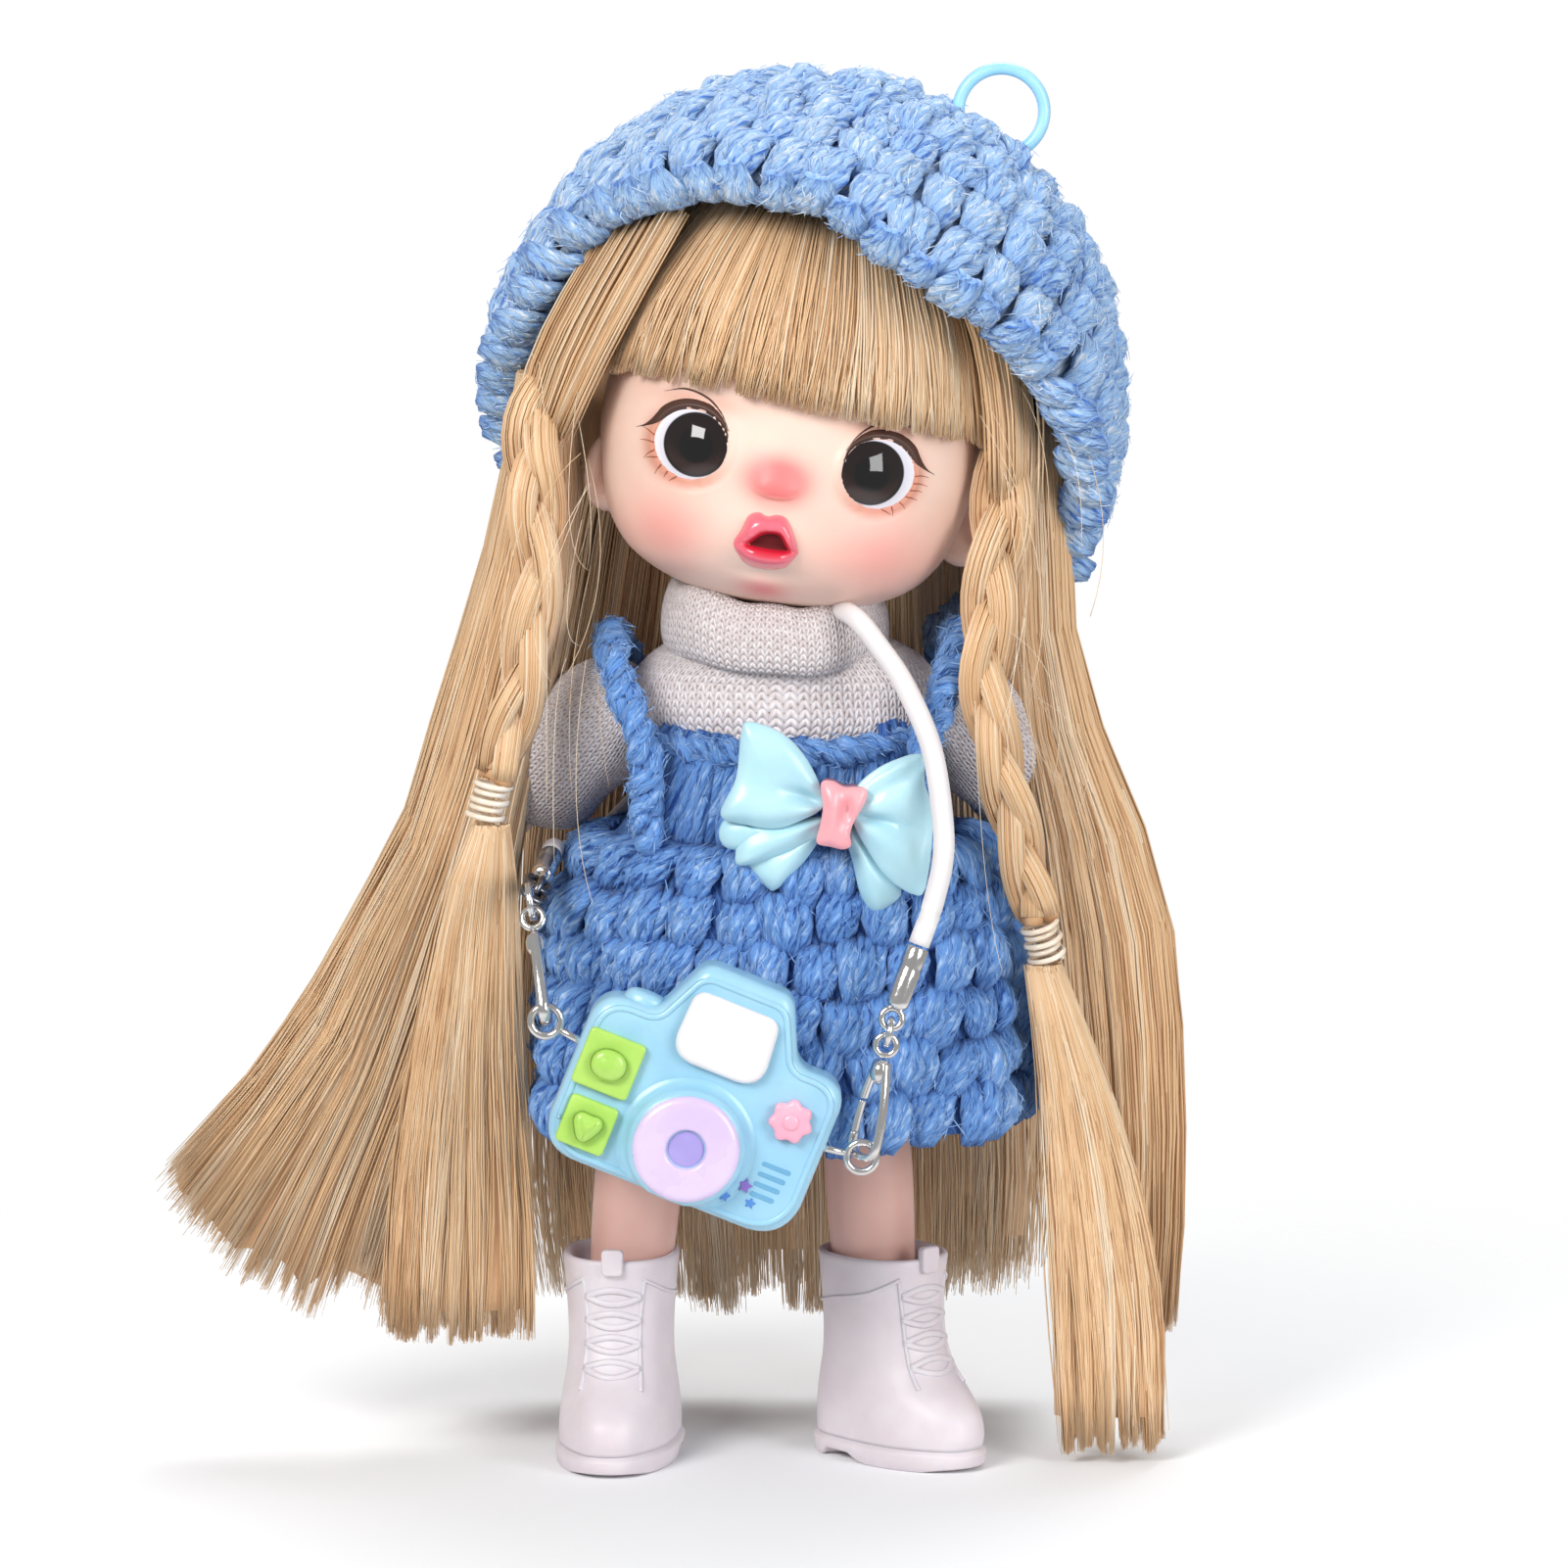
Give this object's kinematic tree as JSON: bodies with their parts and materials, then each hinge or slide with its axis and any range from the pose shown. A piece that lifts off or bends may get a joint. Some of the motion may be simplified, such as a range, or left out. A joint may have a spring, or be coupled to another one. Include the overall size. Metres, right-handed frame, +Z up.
{
  "type": "crocheted doll pendant",
  "caption": "Jointed vinyl fashion doll in a crocheted hat and pinafore with long braided hair, boots, a toy camera on a strap and a hanging loop on the hat.",
  "frame": {"origin": "middle of the footprint on the ground under the boot soles", "axes": "+Z up along the standing doll, -Y the way the doll faces, +X towards its left hand"},
  "size_m": [0.1238, 0.0786, 0.1663],
  "materials": {
    "skin": "satin vinyl",
    "eyes": "polished",
    "hair": "silky fibre",
    "hat_yarn": "chunky yarn",
    "dress_yarn": "chunky yarn",
    "loop": "satin",
    "knit": "fine knit",
    "boots": "satin vinyl",
    "clear_elastic": "clear",
    "camera_resin": "satin resin",
    "white_resin": "satin resin",
    "lavender_resin": "satin resin",
    "violet_resin": "satin resin",
    "green_resin": "satin resin",
    "pink_resin": "satin resin",
    "bow_resin": "satin resin",
    "cord": "smooth cord",
    "steel": "polished",
    "dark_steel": "dark plated"
  },
  "bodies": {
    "torso": {"torso": "skin", "neck_ball": "skin", "sweater_body": "knit", "dress": "dress_yarn", "bow": "bow_resin", "bow_knot": "pink_resin", "strap_cord": "cord", "front_ferrule": "steel", "ferrule_link": "steel", "rear_ferrule": "steel", "chain_link_1": "dark_steel", "chain_link_2": "dark_steel", "chain_link_3": "dark_steel", "split_ring": "steel"},
    "head": {"head_shell": "skin", "right_eye": "eyes", "left_eye": "eyes", "fringe": "hair", "hat": "hat_yarn", "back_hair": "hair", "right_side_lock": "hair", "right_braid": "hair", "right_braid_tail": "hair", "right_hair_elastic": "clear_elastic", "left_side_lock": "hair", "left_braid": "hair", "left_braid_tail": "hair", "left_hair_elastic": "clear_elastic"},
    "loop": {"hanging_loop": "loop"},
    "camera": {"camera_body": "camera_resin", "flash_cover": "white_resin", "lens_ring": "lavender_resin", "lens_button": "violet_resin", "upper_green_tile": "green_resin", "lower_green_tile": "green_resin", "flower_button": "pink_resin", "front_lug": "steel", "rear_lug": "steel", "lobster_body": "steel"},
    "clasp_lever": {"lobster_lever": "steel"},
    "snap_hook": {"hook_body": "steel"},
    "snap_gate": {"hook_gate": "steel"},
    "right_upper_arm": {"right_upper_arm": "skin", "right_sleeve": "knit"},
    "right_forearm": {"right_forearm": "skin"},
    "right_hand": {"right_hand": "skin"},
    "right_thigh": {"right_thigh": "skin"},
    "right_shin": {"right_shin": "skin", "right_foot": "skin", "right_boot": "boots"},
    "left_upper_arm": {"left_upper_arm": "skin", "left_sleeve": "knit"},
    "left_forearm": {"left_forearm": "skin"},
    "left_hand": {"left_hand": "skin"},
    "left_thigh": {"left_thigh": "skin"},
    "left_shin": {"left_shin": "skin", "left_foot": "skin", "left_boot": "boots"}
  },
  "joints": [
    {"name": "head_turn", "type": "hinge", "parent": "torso", "child": "head", "pos_m": [0.01066, -0.00415, 0.1015], "axis": [0.1564, 0, 0.9877], "range_deg": [-25, 25], "deforming": ["back_hair", "right_side_lock", "right_braid", "right_braid_tail", "right_hair_elastic", "left_side_lock", "left_braid", "left_braid_tail", "left_hair_elastic"]},
    {"name": "loop_swing", "type": "hinge", "parent": "head", "child": "loop", "pos_m": [0.0364, 0.00185, 0.15692], "axis": [0.8192, 0, -0.5736], "range_deg": [-20, 20]},
    {"name": "camera_swing", "type": "hinge", "parent": "torso", "child": "camera", "pos_m": [0.02531, -0.03132, 0.05572], "axis": [-0.9362, 0.1431, 0.321], "range_deg": [0, 40]},
    {"name": "clasp_lever_open", "type": "hinge", "parent": "camera", "child": "clasp_lever", "pos_m": [0.02222, -0.03007, 0.04788], "axis": [0.6891, 0.707, -0.1588], "range_deg": [0, 20], "stiffness_Nm_per_rad": 0.0005},
    {"name": "hook_swivel", "type": "hinge", "parent": "camera", "child": "snap_hook", "pos_m": [-0.01607, -0.0259, 0.06814], "axis": [0.1292, -0.4489, -0.8842], "range_deg": [-8, 8]},
    {"name": "hook_gate_open", "type": "hinge", "parent": "snap_hook", "child": "snap_gate", "pos_m": [-0.01513, -0.02698, 0.0617], "axis": [0.9895, 0, 0.1446], "range_deg": [0, 20], "stiffness_Nm_per_rad": 0.0005},
    {"name": "right_shoulder", "type": "hinge", "parent": "torso", "child": "right_upper_arm", "pos_m": [-0.00584, -0.00315, 0.0895], "axis": [-1, 0, 0], "range_deg": [-20, 8]},
    {"name": "right_elbow", "type": "hinge", "parent": "right_upper_arm", "child": "right_forearm", "pos_m": [-0.01726, 0.00601, 0.07858], "axis": [-1, 0, 0], "range_deg": [0, 60]},
    {"name": "right_wrist", "type": "hinge", "parent": "right_forearm", "child": "right_hand", "pos_m": [-0.02489, 0.01356, 0.06958], "axis": [-0.5446, 0.5391, -0.6425], "range_deg": [-45, 45]},
    {"name": "right_hip", "type": "hinge", "parent": "torso", "child": "right_thigh", "pos_m": [-0.00184, -0.00415, 0.062], "axis": [-1, 0, 0], "range_deg": [-14, 14]},
    {"name": "right_knee", "type": "hinge", "parent": "right_thigh", "child": "right_shin", "pos_m": [-0.00341, -0.00415, 0.0435], "axis": [1, 0, 0], "range_deg": [0, 50]},
    {"name": "left_shoulder", "type": "hinge", "parent": "torso", "child": "left_upper_arm", "pos_m": [0.03216, -0.00315, 0.0895], "axis": [-1, 0, 0], "range_deg": [-20, 95]},
    {"name": "left_elbow", "type": "hinge", "parent": "left_upper_arm", "child": "left_forearm", "pos_m": [0.04358, 0.00601, 0.07858], "axis": [-1, 0, 0], "range_deg": [0, 60]},
    {"name": "left_wrist", "type": "hinge", "parent": "left_forearm", "child": "left_hand", "pos_m": [0.0512, 0.01356, 0.06958], "axis": [0.5446, 0.5391, -0.6425], "range_deg": [-45, 45]},
    {"name": "left_hip", "type": "hinge", "parent": "torso", "child": "left_thigh", "pos_m": [0.02166, -0.00415, 0.062], "axis": [-1, 0, 0], "range_deg": [-14, 14]},
    {"name": "left_knee", "type": "hinge", "parent": "left_thigh", "child": "left_shin", "pos_m": [0.0226, -0.00415, 0.0435], "axis": [1, 0, 0], "range_deg": [0, 50]}
  ]
}
